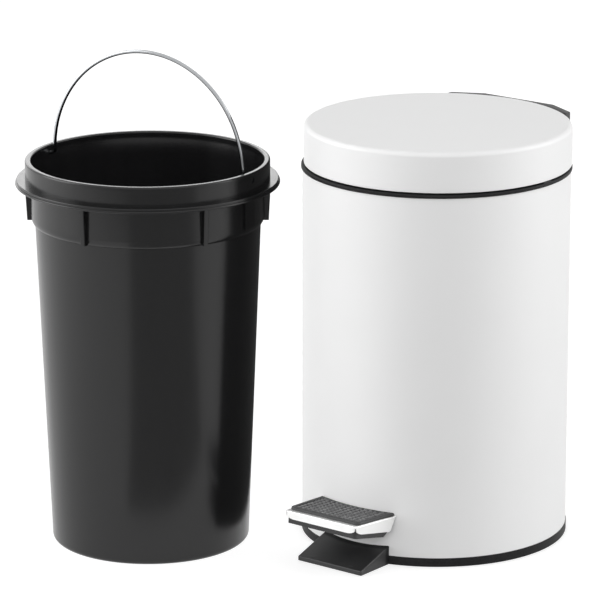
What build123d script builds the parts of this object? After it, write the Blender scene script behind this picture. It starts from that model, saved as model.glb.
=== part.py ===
"""Round pedal trash can with its inner bucket standing beside it.

Millimetres, +Z up. The origin is on the can's axis at floor level, the pedal
faces -Y and the lid's hinge is at +Y. Pressing the pedal tilts a flat ring
lever round the bucket's foot, the lever lifts a rod behind the bucket, and the
rod pushes the lid's crank up.
"""

import os
from math import asin, cos, degrees, radians, sin, sqrt

from build123d import *

os.makedirs("parts", exist_ok=True)

# Body, base and rim
body_radius = 83.5
steel_sheet = 0.6
body_top = 234.9
base_height = 6.0
base_proud = 0.4
base_width = 15.5
rubber_stand = 0.5
rubber_height = 2.0
rubber_width = 7.0
rubber_inset = 3.5
plate_thickness = 0.8
rim_thickness = 2.0
rim_proud = 0.8
rim_inner_inset = 4.0
rim_skirt_depth = 9.0
rim_skirt_wall = 1.8
rim_edge_radius = 0.8

# Foot wedge under the pedal
wedge_half_width = 24.6
wedge_reach = 25.2
wedge_back_height = 11.3
wedge_front_height = 3.3
wedge_wall = 2.2
wedge_pad_radius = 4.0
wedge_pad_spacing = 30.0
wedge_pad_recess = 0.5
wedge_edge_radius = 0.7

# Lid
lid_inset = 0.1
lid_height = 25.0
lid_edge_radius = 3.0
lid_setback = 1.2
lid_gap = 0.9
bumper_length = 8.0
bumper_width = 1.2

# Lid hinge and crank
hinge_behind_wall = 4.5
hinge_below_top = 8.9
hinge_pin_radius = 1.5
knuckle_radius = 3.5
lid_open = 76.0
crank_half_thick = 1.6
crank_width = 6.0
arm_inner = 12.0
arm_outer = 18.5
bracket_flat_half = 26.6
bracket_end_half = 45.8
bracket_end_depth = 7.9
bracket_top_drop = 1.2
bracket_bottom_lift = 2.7
bracket_back_proud = 0.7
bracket_web = 2.0
bracket_edge_radius = 1.0
lid_rivet_half = 22.5
lid_rivet_grip = 2.8
housing_half_width = 30.0
housing_depth = 9.0
housing_height = 40.0
housing_chamfer = 4.0
housing_back_wall = 2.0
housing_edge_radius = 1.5
housing_screw_half = 12.0
housing_screw_lift = 6.0

# Lift rod behind the bucket
rod_radius = 1.75
rod_cap_wall = 1.0
rod_cap_height = 8.5
guide_height = 8.0
guide_half_width = 12.0
guide_wall = 2.2
lower_guide_height = 55.0
upper_guide_height = 160.0

# Pedal lever and its pivot
pivot_forward = 8.0
pivot_height = 22.0
pivot_pin_radius = 2.0
lever_thickness = 2.5
lever_margin = 8.9
lever_width = 8.0
tongue_width = 20.0
tongue_end_gap = 8.0
rear_tongue_width = 10.0
bush_radius = 4.5
bush_root = 1.6
pivot_bracket_sheet = 1.5
pivot_bracket_half = 7.0
pivot_bracket_foot = 12.0
pivot_bracket_inset = 5.4
pivot_bracket_corner = 3.0
bracket_rivet_half = 4.2

# Pedal
pedal_depth = 33.5
pedal_back_gap = 1.3
pedal_back_half = 28.8
pedal_front_half = 27.4
tray_sheet = 0.8
tray_top = 6.0
tray_front_drop = 5.0
tray_side_front_drop = 5.3
tray_side_rear_drop = 10.0
tray_rear_slant = 4.8
tray_corner_relief = 1.6
tread_thickness = 1.8
tread_side_inset = 0.8
tread_front_inset = 3.2
tread_corner = 3.0
tread_border = 2.4
tread_field_depth = 0.5
tread_field_corner = 0.6
carrier_rear_drop = 12.4
carrier_front_drop = 8.0
carrier_back_gap = 3.2
carrier_rear_cut = 2.8
pedal_screw_end = 5.0
pedal_screw_pitch = 10.0
pedal_screw_head = 1.2

# Inner bucket and its bail, beside the can
stand_gap = 14.6
stand_direction = 223.7
bucket_turn = 8.0
bucket_wall = 1.6
bucket_floor = 2.0
flange_inset = 1.7
flange_thickness = 1.5
flange_step_inset = 0.8
flange_step_rise = 1.5
collar_step = 6.1
collar_height = 13.6
collar_wall = 3.7
collar_edge_radius = 1.1
flange_edge_radius = 0.6
upper_wall_step = 3.5
fin_end_step = 1.3
fin_past_ledge = 4.0
fin_thickness = 3.0
fin_count = 6
ledge_drop = 20.0
ledge_height = 4.5
ledge_step = 2.3
bucket_edge_radius = 3.0
bucket_ring_inset = 17.8
bucket_ring_rise = 1.0
bail_wire_radius = 1.2
bail_below_rim = 4.7
bail_side_gap = 3.8
bail_leg = 3.3
bail_bend_radius = 2.6
bail_end_inset = 0.8
bail_pad_width = 10.6
bail_pad_proud = 1.2

# Screws and rivets
screw_radius = 1.5
screw_head_radius = 3.0
screw_head_height = 2.0
rivet_radius = 1.25
rivet_head_radius = 2.4
rivet_head_height = 0.9
base_screw_count = 4

# Fits and clearances
fixed_fit = 0.03
running_fit = 0.05
seat_clearance = 0.1
part_clearance = 0.3
swing_clearance = 1.0
slot_clearance = 1.5
bucket_foot_clearance = 4.2
bucket_floor_clearance = 1.1
fin_clearance = 3.4
bail_fit = 0.5
cut_past = 1.0

# Places worked out from the driving dimensions
body_inner = body_radius - steel_sheet
base_radius = body_radius + base_proud
base_inner = body_radius - base_width
rubber_outer = body_radius - rubber_inset
rubber_inner = rubber_outer - rubber_width
plate_top = base_height + plate_thickness
rim_top = body_top + rim_thickness
rim_radius = body_radius + rim_proud
rim_inner = body_radius - rim_inner_inset
lid_bottom = rim_top + lid_gap
lid_top = lid_bottom + lid_height
lid_radius = body_radius - lid_inset
lid_inner = lid_radius - steel_sheet
hinge_y = body_radius + hinge_behind_wall
hinge_z = body_top - hinge_below_top
pivot_y = -pivot_forward

# The rod stands close to the wall, and the crank's reach puts it under the nose. The
# crank sweeps the same angle below and above level, and the rod and the lever share
# its rise. The rod's domed cap comes closest to the crank when the lid is fully open
half_open = radians(lid_open / 2)
rod_cap_radius = rod_radius + rod_cap_wall
rod_y = body_inner - rod_cap_radius - part_clearance
crank_reach = 2 * (hinge_y - rod_y) / (1 + cos(half_open))
rod_travel = 2 * crank_reach * sin(half_open)
lever_tilt = asin(rod_travel / 2 / (rod_y - pivot_y))
pedal_swing = 2 * degrees(lever_tilt)
crank_tip_y = hinge_y - crank_reach * cos(half_open)
crank_tip_z = hinge_z - crank_reach * sin(half_open)
nose_stand = rod_cap_radius + crank_half_thick + part_clearance
rod_dome_z = crank_tip_z - (nose_stand - (crank_tip_y - rod_y) * sin(half_open)) / cos(half_open)
lever_half = lever_thickness / 2
lever_drop = (rod_y - pivot_y) * sin(lever_tilt) - lever_half * cos(lever_tilt)
rod_foot = pivot_height - lever_drop + part_clearance

lever_outer = body_inner - lever_margin
lever_inner = lever_outer - lever_width
bush_start = sqrt(lever_outer**2 - pivot_y**2) - bush_root
pivot_bracket_x = body_inner - pivot_bracket_inset
bush_end = pivot_bracket_x - part_clearance

lever_plane = Plane(
    origin=(0, pivot_y, pivot_height),
    x_dir=(1, 0, 0),
    z_dir=(0, sin(lever_tilt), cos(lever_tilt)),
)
lever_side = Plane(
    origin=(0, pivot_y, pivot_height),
    x_dir=(0, cos(lever_tilt), -sin(lever_tilt)),
    z_dir=(1, 0, 0),
)
pedal_back = body_radius + pedal_back_gap
pedal_front = -(pedal_back + pedal_depth) - pivot_y
tread_top = tray_top + tread_thickness


def radial_plane(angle, radius, height, centre_y=0.0):
    """Plane whose normal points outwards from the can's axis, angle from +Y towards +X."""
    turn = radians(angle)
    return Plane(
        origin=(radius * sin(turn), centre_y + radius * cos(turn), height),
        x_dir=(cos(turn), -sin(turn), 0),
        z_dir=(sin(turn), cos(turn), 0),
    )


def angle_at(offset, radius):
    """Angle from +Y at which a circle of that radius reaches the sideways offset."""
    return degrees(asin(offset / radius))


UP = (Align.CENTER, Align.CENTER, Align.MIN)
DOWN = (Align.CENTER, Align.CENTER, Align.MAX)

# Rubber ring that the can stands on, and pads under the wedge
with BuildPart() as floor_ring:
    with BuildSketch(Plane.XY):
        Circle(rubber_outer)
        Circle(rubber_inner, mode=Mode.SUBTRACT)
    extrude(amount=rubber_height)

wedge_front = -(body_radius + wedge_reach)
wedge_slope = (wedge_back_height - wedge_front_height) / wedge_reach
wedge_pad_y = wedge_front + wedge_wall + wedge_pad_radius + seat_clearance
wedge_pad_top = wedge_front_height + wedge_slope * (wedge_pad_y - wedge_front) - wedge_wall
wedge_pad_places = [(x, wedge_pad_y) for x in (-wedge_pad_spacing / 2, wedge_pad_spacing / 2)]

with BuildPart() as wedge_pads:
    with Locations(*[(x, y, 0) for x, y in wedge_pad_places]):
        Cylinder(wedge_pad_radius, rubber_stand + wedge_pad_recess, align=UP)

# Base ring, with the wedge that keeps the can from tipping when the pedal is pressed
base_screw_radius = rubber_inner - screw_head_radius - swing_clearance
base_screw_start = rubber_stand + part_clearance
wedge_root_y = -(base_inner + base_radius) / 2

with BuildPart() as base_ring:
    with BuildSketch(Plane.XY.offset(rubber_stand)):
        Circle(base_radius)
    extrude(amount=base_height - rubber_stand)
    with BuildSketch(Plane.YZ.offset(-wedge_half_width)):
        with BuildLine():
            Polyline(
                (wedge_front, rubber_stand),
                (wedge_front, wedge_front_height),
                (wedge_root_y, wedge_front_height + wedge_slope * (wedge_root_y - wedge_front)),
                (wedge_root_y, rubber_stand),
                close=True,
            )
        make_face()
    extrude(amount=2 * wedge_half_width)
    with Locations((0, 0, base_height)):
        Cylinder(body_radius + part_clearance, body_top, align=UP, mode=Mode.SUBTRACT)
    wedge_edges = base_ring.edges().filter_by(GeomType.LINE)
    wedge_edges = wedge_edges.filter_by_position(Axis.Y, wedge_front - cut_past, -base_radius)
    fillet(
        wedge_edges.filter_by_position(Axis.Z, rubber_stand + seat_clearance, body_top),
        radius=min(wedge_edge_radius, wedge_wall / 3),
    )
    with BuildSketch(Plane.XY.offset(rubber_stand)):
        Circle(base_inner)
    extrude(amount=base_height, mode=Mode.SUBTRACT)
    with BuildSketch(Plane.YZ.offset(-wedge_half_width + wedge_wall)):
        pocket_back = -(base_radius + wedge_wall)
        pocket_front = wedge_front + wedge_wall
        pocket_rise = wedge_front_height - wedge_wall - wedge_slope * wedge_front
        with BuildLine():
            Polyline(
                (pocket_front, 0),
                (pocket_front, pocket_rise + wedge_slope * pocket_front),
                (pocket_back, pocket_rise + wedge_slope * pocket_back),
                (pocket_back, 0),
                close=True,
            )
        make_face()
    extrude(amount=2 * (wedge_half_width - wedge_wall), mode=Mode.SUBTRACT)
    with Locations(*[(x, y, rubber_stand) for x, y in wedge_pad_places]):
        Cylinder(wedge_pad_radius, wedge_pad_top - rubber_stand + wedge_wall / 2, align=UP)
        Cylinder(wedge_pad_radius, wedge_pad_recess, align=UP, mode=Mode.SUBTRACT)
    with BuildSketch(Plane.XY.offset(rubber_stand)):
        Circle(rubber_outer + seat_clearance)
        Circle(rubber_inner - seat_clearance, mode=Mode.SUBTRACT)
    extrude(amount=rubber_height - rubber_stand, mode=Mode.SUBTRACT)
    with PolarLocations(base_screw_radius, base_screw_count, start_angle=45):
        Cylinder(screw_radius + seat_clearance, 3 * base_height, mode=Mode.SUBTRACT)
        Cylinder(
            screw_head_radius + seat_clearance,
            base_screw_start + screw_head_height,
            align=UP,
            mode=Mode.SUBTRACT,
        )

# Steel bottom plate inside the wall, and the screws that hold the base ring to it
bracket_foot_x = pivot_bracket_x - pivot_bracket_foot / 2
bracket_rivet_places = [
    (side * bracket_foot_x, pivot_y + step * bracket_rivet_half)
    for side in (-1, 1)
    for step in (-1, 1)
]

with BuildPart() as bottom_plate:
    with Locations((0, 0, base_height)):
        Cylinder(body_inner - seat_clearance, plate_thickness, align=UP)
    with PolarLocations(base_screw_radius, base_screw_count, start_angle=45):
        Cylinder(screw_radius + fixed_fit, 3 * base_height, mode=Mode.SUBTRACT)
    with Locations(*bracket_rivet_places):
        Cylinder(rivet_radius + fixed_fit, 3 * base_height, mode=Mode.SUBTRACT)

with BuildPart() as base_screws:
    with PolarLocations(base_screw_radius, base_screw_count, start_angle=45):
        with Locations((0, 0, base_screw_start)):
            Cylinder(screw_head_radius, screw_head_height, align=UP)
            Cylinder(screw_radius, plate_top + screw_head_height - base_screw_start, align=UP)

# Painted steel wall with the pedal's slot in front and the crank's slot behind
tongue_root = body_inner - pivot_forward
slot_half_height = tongue_root * sin(lever_tilt) + lever_half + swing_clearance
crank_slot_bottom = crank_tip_z - crank_half_thick
crank_slot_top = 2 * hinge_z - crank_slot_bottom
housing_screw_z = hinge_z + knuckle_radius - housing_height + housing_screw_lift
housing_screw_angle = angle_at(housing_screw_half, body_radius)
guide_rivet_angle = angle_at(guide_half_width - rivet_head_radius - part_clearance, body_radius)

with BuildPart() as body_shell:
    with BuildSketch(Plane.XY.offset(base_height)):
        Circle(body_radius)
        Circle(body_inner, mode=Mode.SUBTRACT)
    extrude(amount=body_top - base_height)
    with BuildSketch(Plane.XZ):
        with Locations((0, pivot_height)):
            RectangleRounded(tongue_width + 2 * slot_clearance, 2 * slot_half_height, slot_clearance)
    extrude(amount=2 * body_radius, mode=Mode.SUBTRACT)
    with BuildSketch(Plane.XZ):
        with Locations((0, (crank_slot_top + crank_slot_bottom) / 2)):
            Rectangle(crank_width + 2 * slot_clearance, crank_slot_top - crank_slot_bottom)
    extrude(amount=-2 * body_radius, mode=Mode.SUBTRACT)
    for side in (-1, 1):
        with Locations(radial_plane(side * housing_screw_angle, body_radius, housing_screw_z)):
            Cylinder(screw_radius + seat_clearance, 4 * steel_sheet, mode=Mode.SUBTRACT)
        for height in (lower_guide_height, upper_guide_height):
            with Locations(radial_plane(side * guide_rivet_angle, body_radius, height)):
                Cylinder(rivet_radius + fixed_fit, 4 * steel_sheet, mode=Mode.SUBTRACT)

# Black ring clipped over the wall's upper edge, with a notch for the rod's cap
with BuildPart() as rim_ring:
    skirt_radius = body_inner - part_clearance
    with BuildSketch(Plane.XZ):
        with BuildLine():
            Polyline(
                (rim_inner, rim_top),
                (rim_radius, rim_top),
                (rim_radius, body_top),
                (skirt_radius, body_top),
                (skirt_radius, body_top - rim_skirt_depth),
                (skirt_radius - rim_skirt_wall, body_top - rim_skirt_depth),
                (skirt_radius - rim_skirt_wall, body_top),
                (rim_inner, body_top),
                close=True,
            )
        make_face()
    revolve(axis=Axis.Z)
    rim_edges = rim_ring.edges().filter_by(GeomType.CIRCLE)
    fillet(
        [e for e in rim_edges if abs(e.radius - rim_radius) < 0.01 and e.center().Z > body_top + 0.01],
        radius=min(rim_edge_radius, rim_thickness / 2),
    )
    with Locations((0, body_inner, body_top)):
        Box(
            2 * rod_cap_radius + 2 * part_clearance + slot_clearance,
            4 * rim_skirt_wall + 2 * rod_cap_radius,
            4 * rim_skirt_depth,
            align=DOWN,
            mode=Mode.SUBTRACT,
        )

# Rubber bumpers on the ring, one each side, under the lid's lower edge
with BuildPart() as lid_bumpers:
    with BuildSketch(Plane.XY.offset(rim_top)):
        Circle(lid_radius + bumper_width / 2)
        Circle(lid_radius - bumper_width / 2, mode=Mode.SUBTRACT)
        Rectangle(3 * lid_radius, bumper_length, mode=Mode.INTERSECT)
    extrude(amount=lid_gap - seat_clearance)

# Hinge housing screwed to the back of the wall, open above for the lid's arms
housing_top = hinge_z + knuckle_radius
housing_bottom = housing_top - housing_height
housing_back = body_radius + housing_depth
cavity_half = arm_outer + part_clearance + seat_clearance

with BuildPart() as hinge_housing:
    with BuildSketch(Plane.XY.offset(housing_bottom)):
        with BuildLine():
            Polyline(
                (-housing_half_width, 0),
                (-housing_half_width, housing_back - housing_chamfer),
                (-housing_half_width + housing_chamfer, housing_back),
                (housing_half_width - housing_chamfer, housing_back),
                (housing_half_width, housing_back - housing_chamfer),
                (housing_half_width, 0),
                close=True,
            )
        make_face()
        Circle(body_radius + seat_clearance, mode=Mode.SUBTRACT)
    extrude(amount=housing_height)
    cavity_floor = housing_screw_z + housing_screw_lift
    with Locations((0, 0, cavity_floor)):
        Box(
            2 * cavity_half,
            2 * (housing_back - housing_back_wall),
            housing_height,
            align=UP,
            mode=Mode.SUBTRACT,
        )
    with Locations((0, 0, hinge_z - knuckle_radius - swing_clearance)):
        Box(2 * cavity_half, 4 * housing_back, housing_height, align=UP, mode=Mode.SUBTRACT)
    outer_edges = hinge_housing.edges().filter_by(Axis.Z).group_by(Axis.Y)[-1]
    fillet(outer_edges, radius=min(housing_edge_radius, housing_chamfer / 2))
    with Locations(Plane(origin=(0, hinge_y, hinge_z), z_dir=(1, 0, 0))):
        Cylinder(hinge_pin_radius + fixed_fit, 4 * housing_half_width, mode=Mode.SUBTRACT)
    for side in (-1, 1):
        with Locations(radial_plane(side * housing_screw_angle, body_radius, housing_screw_z)):
            Cylinder(screw_radius + fixed_fit, 2 * (housing_depth - housing_back_wall), mode=Mode.SUBTRACT)

with BuildPart() as hinge_screws:
    for side in (-1, 1):
        head_seat = body_inner - seat_clearance
        with Locations(radial_plane(side * housing_screw_angle, head_seat, housing_screw_z)):
            Cylinder(screw_head_radius, screw_head_height, align=DOWN)
            Cylinder(screw_radius, housing_depth - housing_back_wall, align=UP)

with BuildPart() as hinge_pin:
    with Locations(Plane(origin=(0, hinge_y, hinge_z), z_dir=(1, 0, 0))):
        Cylinder(hinge_pin_radius, 2 * (housing_half_width - part_clearance))

# Two guides on the wall for the lift rod, and their rivets
guides = {}
guide_heights = {"lower_rod_guide": lower_guide_height, "upper_rod_guide": upper_guide_height}
for guide_name, guide_z in guide_heights.items():
    with BuildPart() as guide:
        with BuildSketch(Plane.XY.offset(guide_z - guide_height / 2)):
            guide_front = rod_y - rod_radius - guide_wall
            with Locations((0, (guide_front + body_radius) / 2)):
                Rectangle(2 * guide_half_width, body_radius - guide_front)
            Circle(body_inner - seat_clearance, mode=Mode.INTERSECT)
        extrude(amount=guide_height)
        with Locations((0, rod_y, guide_z)):
            Cylinder(rod_radius + running_fit, 2 * guide_height, mode=Mode.SUBTRACT)
        for side in (-1, 1):
            with Locations(radial_plane(side * guide_rivet_angle, body_radius, guide_z)):
                Cylinder(rivet_radius + fixed_fit, 4 * guide_height, mode=Mode.SUBTRACT)
    guides[guide_name] = guide

with BuildPart() as guide_rivets:
    for side in (-1, 1):
        for height in (lower_guide_height, upper_guide_height):
            with Locations(radial_plane(side * guide_rivet_angle, body_radius + seat_clearance, height)):
                Cylinder(rivet_head_radius, rivet_head_height, align=UP)
                Cylinder(rivet_radius, steel_sheet + 2 * seat_clearance + guide_wall, align=DOWN)

# Lift rod with a rounded foot, and the domed plastic cap that the crank rides on
with BuildPart() as lift_rod:
    with Locations((0, rod_y, rod_foot + rod_radius)):
        Cylinder(rod_radius, rod_dome_z - rod_foot - rod_radius, align=UP)
        Sphere(rod_radius)

with BuildPart() as rod_cap:
    with Locations((0, rod_y, rod_dome_z)):
        Sphere(rod_cap_radius)
        Cylinder(rod_cap_radius, rod_cap_height, align=DOWN)
        Cylinder(rod_radius + fixed_fit, 2 * rod_cap_height, align=DOWN, mode=Mode.SUBTRACT)

# Brackets and pins that the lever turns on
pivot_brackets = {}
for bracket_name, side in (("left_pivot_bracket", -1), ("right_pivot_bracket", 1)):
    with BuildPart() as pivot_bracket:
        with BuildSketch(Plane.XZ.offset(-pivot_y - pivot_bracket_half)):
            with BuildLine():
                Polyline(
                    (side * (pivot_bracket_x - pivot_bracket_foot), plate_top),
                    (side * (pivot_bracket_x + pivot_bracket_sheet), plate_top),
                    (side * (pivot_bracket_x + pivot_bracket_sheet), pivot_height + bush_radius),
                    (side * pivot_bracket_x, pivot_height + bush_radius),
                    (side * pivot_bracket_x, plate_top + pivot_bracket_sheet),
                    (side * (pivot_bracket_x - pivot_bracket_foot), plate_top + pivot_bracket_sheet),
                    close=True,
                )
            make_face()
        extrude(amount=2 * pivot_bracket_half)
        top_corners = pivot_bracket.edges().filter_by(Axis.X).group_by(Axis.Z)[-1]
        fillet(top_corners, radius=min(pivot_bracket_corner, pivot_bracket_half / 2))
        with Locations(Plane(origin=(0, pivot_y, pivot_height), z_dir=(1, 0, 0))):
            Cylinder(pivot_pin_radius + fixed_fit, 4 * body_radius, mode=Mode.SUBTRACT)
        with Locations(*bracket_rivet_places):
            Cylinder(rivet_radius + fixed_fit, 4 * base_height, mode=Mode.SUBTRACT)
    pivot_brackets[bracket_name] = pivot_bracket

with BuildPart() as bracket_rivets:
    with Locations(*[(x, y, plate_top + pivot_bracket_sheet) for x, y in bracket_rivet_places]):
        Cylinder(rivet_head_radius, rivet_head_height, align=UP)
        Cylinder(rivet_radius, pivot_bracket_sheet + plate_thickness, align=DOWN)

with BuildPart() as pivot_pins:
    for side in (-1, 1):
        pin_head = pivot_bracket_x + pivot_bracket_sheet
        with Locations(Plane(origin=(side * pin_head, pivot_y, pivot_height), z_dir=(side, 0, 0))):
            Cylinder(pivot_pin_radius + rivet_head_height, rivet_head_height, align=UP)
            Cylinder(pivot_pin_radius, pin_head - bush_start, align=DOWN)

# Pedal lever: a flat steel ring round the bucket's foot with a tongue at each end
tongue_front = pedal_front + tongue_end_gap
rear_tongue_end = rod_y - pivot_y + rod_radius
pedal_screw_places = [(0, tongue_front + pedal_screw_end + step * pedal_screw_pitch) for step in (0, 1)]

with BuildPart() as pedal_lever:
    with BuildSketch(lever_plane.offset(-lever_half)):
        with Locations((0, -pivot_y)):
            Circle(lever_outer)
        with Locations((0, tongue_front / 2)):
            Rectangle(tongue_width, -tongue_front)
        with Locations((0, rear_tongue_end / 2)):
            Rectangle(rear_tongue_width, rear_tongue_end)
        with Locations((0, -pivot_y)):
            Circle(lever_inner, mode=Mode.SUBTRACT)
    extrude(amount=lever_thickness)
    for side in (-1, 1):
        with Locations(Plane(origin=(side * bush_start, pivot_y, pivot_height), z_dir=(side, 0, 0))):
            Cylinder(bush_radius, bush_end - bush_start, align=UP)
    with Locations(Plane(origin=(0, pivot_y, pivot_height), z_dir=(1, 0, 0))):
        Cylinder(pivot_pin_radius + running_fit, 4 * body_radius, mode=Mode.SUBTRACT)
    with Locations(*[lever_plane * Location((x, y, 0)) for x, y in pedal_screw_places]):
        Cylinder(screw_radius + seat_clearance, 4 * lever_thickness, mode=Mode.SUBTRACT)


def pedal_outline(inset_side, inset_front, back_radius):
    """Corners of the pedal seen from above, in the lever's plane, inset at the sides and the front."""
    back_half = pedal_back_half - inset_side
    front_half = pedal_front_half - inset_side
    front = pedal_front + inset_front
    back = -pivot_y - sqrt(back_radius**2 - back_half**2)
    middle = -pivot_y - back_radius
    return back_half, front_half, front, back, middle


# Pedal carrier: black moulding under the tray, screwed to the lever's tongue
carrier_inset = tray_sheet + part_clearance
carrier_top = tray_top - tray_sheet
carrier_back = -(body_radius + carrier_back_gap) - pivot_y
carrier_slope = (carrier_rear_drop - carrier_front_drop) / (carrier_back - pedal_front)
carrier_low = tray_top - carrier_front_drop - carrier_rear_drop

with BuildPart() as pedal_carrier:
    back_half, front_half, front, back, middle = pedal_outline(
        carrier_inset, carrier_inset, body_radius + carrier_back_gap
    )
    with BuildSketch(lever_plane.offset(carrier_top)) as carrier_plan:
        with BuildLine():
            ThreePointArc((-back_half, back), (0, middle), (back_half, back))
            Polyline((back_half, back), (front_half, front), (-front_half, front), (-back_half, back))
        make_face()
        fillet(carrier_plan.vertices().group_by(Axis.Y)[0], radius=tread_corner - carrier_inset)
    extrude(amount=-(carrier_rear_drop + carrier_top))
    with BuildSketch(lever_side.offset(-pedal_back_half)):
        cut_start = carrier_back - carrier_rear_cut
        with BuildLine():
            Polyline(
                (pedal_front, carrier_low),
                (pedal_front, tray_top - carrier_front_drop),
                (cut_start, tray_top - carrier_front_drop - carrier_slope * (cut_start - pedal_front)),
                (back, -lever_half),
                (back, carrier_low),
                close=True,
            )
        make_face()
    extrude(amount=2 * pedal_back_half, mode=Mode.SUBTRACT)
    with BuildSketch(lever_plane.offset(-lever_half - seat_clearance)):
        with Locations((0, tongue_front / 2)):
            Rectangle(tongue_width + 2 * seat_clearance, -tongue_front + 2 * seat_clearance)
    extrude(amount=lever_thickness + 2 * seat_clearance, mode=Mode.SUBTRACT)
    with Locations(*[lever_plane * Location((x, y, 0)) for x, y in pedal_screw_places]):
        Cylinder(screw_radius + fixed_fit, carrier_top - screw_radius, align=UP, mode=Mode.SUBTRACT)
        Cylinder(screw_radius + seat_clearance, 4 * carrier_rear_drop, align=DOWN, mode=Mode.SUBTRACT)
    with Locations(*[lever_plane * Location((x, y, -lever_thickness)) for x, y in pedal_screw_places]):
        Cylinder(screw_head_radius + seat_clearance, carrier_rear_drop, align=DOWN, mode=Mode.SUBTRACT)

with BuildPart() as pedal_screws:
    with Locations(*[lever_plane * Location((x, y, -lever_thickness)) for x, y in pedal_screw_places]):
        Cylinder(screw_head_radius, pedal_screw_head, align=DOWN)
        Cylinder(screw_radius, lever_thickness + carrier_top - 2 * screw_radius, align=UP)

# Bright pressed-steel tray with its edges folded down and a relief at each front corner
with BuildPart() as pedal_tray:
    back_half, front_half, front, back, middle = pedal_outline(0, 0, pedal_back)
    with BuildSketch(lever_plane.offset(tray_top)) as tray_plan:
        with BuildLine():
            ThreePointArc((-back_half, back), (0, middle), (back_half, back))
            Polyline((back_half, back), (front_half, front), (-front_half, front), (-back_half, back))
        make_face()
        fillet(tray_plan.vertices().group_by(Axis.Y)[0], radius=tread_corner)
    extrude(amount=-tray_side_rear_drop)
    with BuildSketch(lever_plane.offset(tray_top - tray_sheet)) as tray_inside:
        with BuildLine():
            Polyline(
                (back_half - tray_sheet, 0),
                (back_half - tray_sheet, back),
                (front_half - tray_sheet, front + tray_sheet),
                (-front_half + tray_sheet, front + tray_sheet),
                (-back_half + tray_sheet, back),
                (-back_half + tray_sheet, 0),
                close=True,
            )
        make_face()
        fillet(tray_inside.vertices().group_by(Axis.Y)[0], radius=tread_corner - tray_sheet)
    extrude(amount=-2 * tray_side_rear_drop, mode=Mode.SUBTRACT)
    with BuildSketch(lever_side.offset(-2 * pedal_back_half)):
        below = tray_top - 2 * tray_side_rear_drop
        with BuildLine():
            Polyline(
                (front - cut_past, below),
                (front - cut_past, tray_top - tray_front_drop),
                (front + tread_corner, tray_top - tray_front_drop),
                (front + tread_corner, tray_top - tray_side_front_drop),
                (back - tray_rear_slant, tray_top - tray_side_rear_drop),
                (back, tray_top - tray_sheet),
                (0, tray_top - tray_sheet),
                (0, below),
                close=True,
            )
        make_face()
    extrude(amount=4 * pedal_back_half, mode=Mode.SUBTRACT)
    relief_z = tray_top - tray_front_drop / 2
    relief_places = [(side * front_half, front, relief_z) for side in (-1, 1)]
    with Locations(*[lever_plane * Location(place) for place in relief_places]):
        Cylinder(tray_corner_relief, tray_side_rear_drop, align=DOWN, mode=Mode.SUBTRACT)

# Black tread on the tray, with a border round a sunk field
with BuildPart() as pedal_tread:
    tread_steps = ((0, 0, tread_corner), (tread_border, tread_field_depth, tread_field_corner))
    for border, sink, corner in tread_steps:
        back_half, front_half, front, back, middle = pedal_outline(
            tread_side_inset + border, tread_front_inset + border, pedal_back + border
        )
        with BuildSketch(lever_plane.offset(tread_top - sink)) as tread_plan:
            with BuildLine():
                ThreePointArc((-back_half, back), (0, middle), (back_half, back))
                Polyline(
                    (back_half, back), (front_half, front), (-front_half, front), (-back_half, back)
                )
            make_face()
            fillet(tread_plan.vertices().group_by(Axis.Y)[0], radius=corner)
        if border:
            extrude(amount=tread_thickness, mode=Mode.SUBTRACT)
        else:
            extrude(amount=-tread_thickness)
            tread_rim = pedal_tread.faces().sort_by(Axis.Z)[-1].edges()
            chamfer(tread_rim, length=tread_field_depth)

# Lid: a drawn steel cap, set back a little towards its hinge
lid_axis = Axis((0, lid_setback, 0), (0, 0, 1))
lid_rivet_z = lid_bottom + lid_height / 2
lid_rivet_angle = angle_at(lid_rivet_half, lid_radius)

with BuildPart() as lid_shell:
    with BuildSketch(Plane.XZ.offset(-lid_setback)):
        edge_x = lid_radius - lid_edge_radius
        edge_z = lid_top - lid_edge_radius
        with BuildLine():
            Line((0, lid_top), (edge_x, lid_top))
            CenterArc((edge_x, edge_z), lid_edge_radius, 0, 90)
            Polyline(
                (lid_radius, edge_z), (lid_radius, lid_bottom), (lid_inner, lid_bottom), (lid_inner, edge_z)
            )
            CenterArc((edge_x, edge_z), lid_edge_radius - steel_sheet, 0, 90)
            Polyline((edge_x, lid_top - steel_sheet), (0, lid_top - steel_sheet), (0, lid_top))
        make_face()
    revolve(axis=lid_axis)
    for side in (-1, 1):
        with Locations(radial_plane(side * lid_rivet_angle, lid_radius, lid_rivet_z, lid_setback)):
            Cylinder(rivet_radius + fixed_fit, 4 * steel_sheet, mode=Mode.SUBTRACT)

# Black hinge bracket behind the lid, with two arms down to the hinge pin
bracket_bottom = lid_bottom + bracket_bottom_lift
bracket_top = lid_top - bracket_top_drop
bracket_back = hinge_y + bracket_back_proud
bracket_end_y = lid_setback + sqrt(lid_radius**2 - bracket_end_half**2) + bracket_end_depth
arm_front = max(rim_radius, lid_setback + lid_radius) + part_clearance
arm_back = hinge_y + knuckle_radius
web_front = bracket_back - bracket_web

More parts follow.
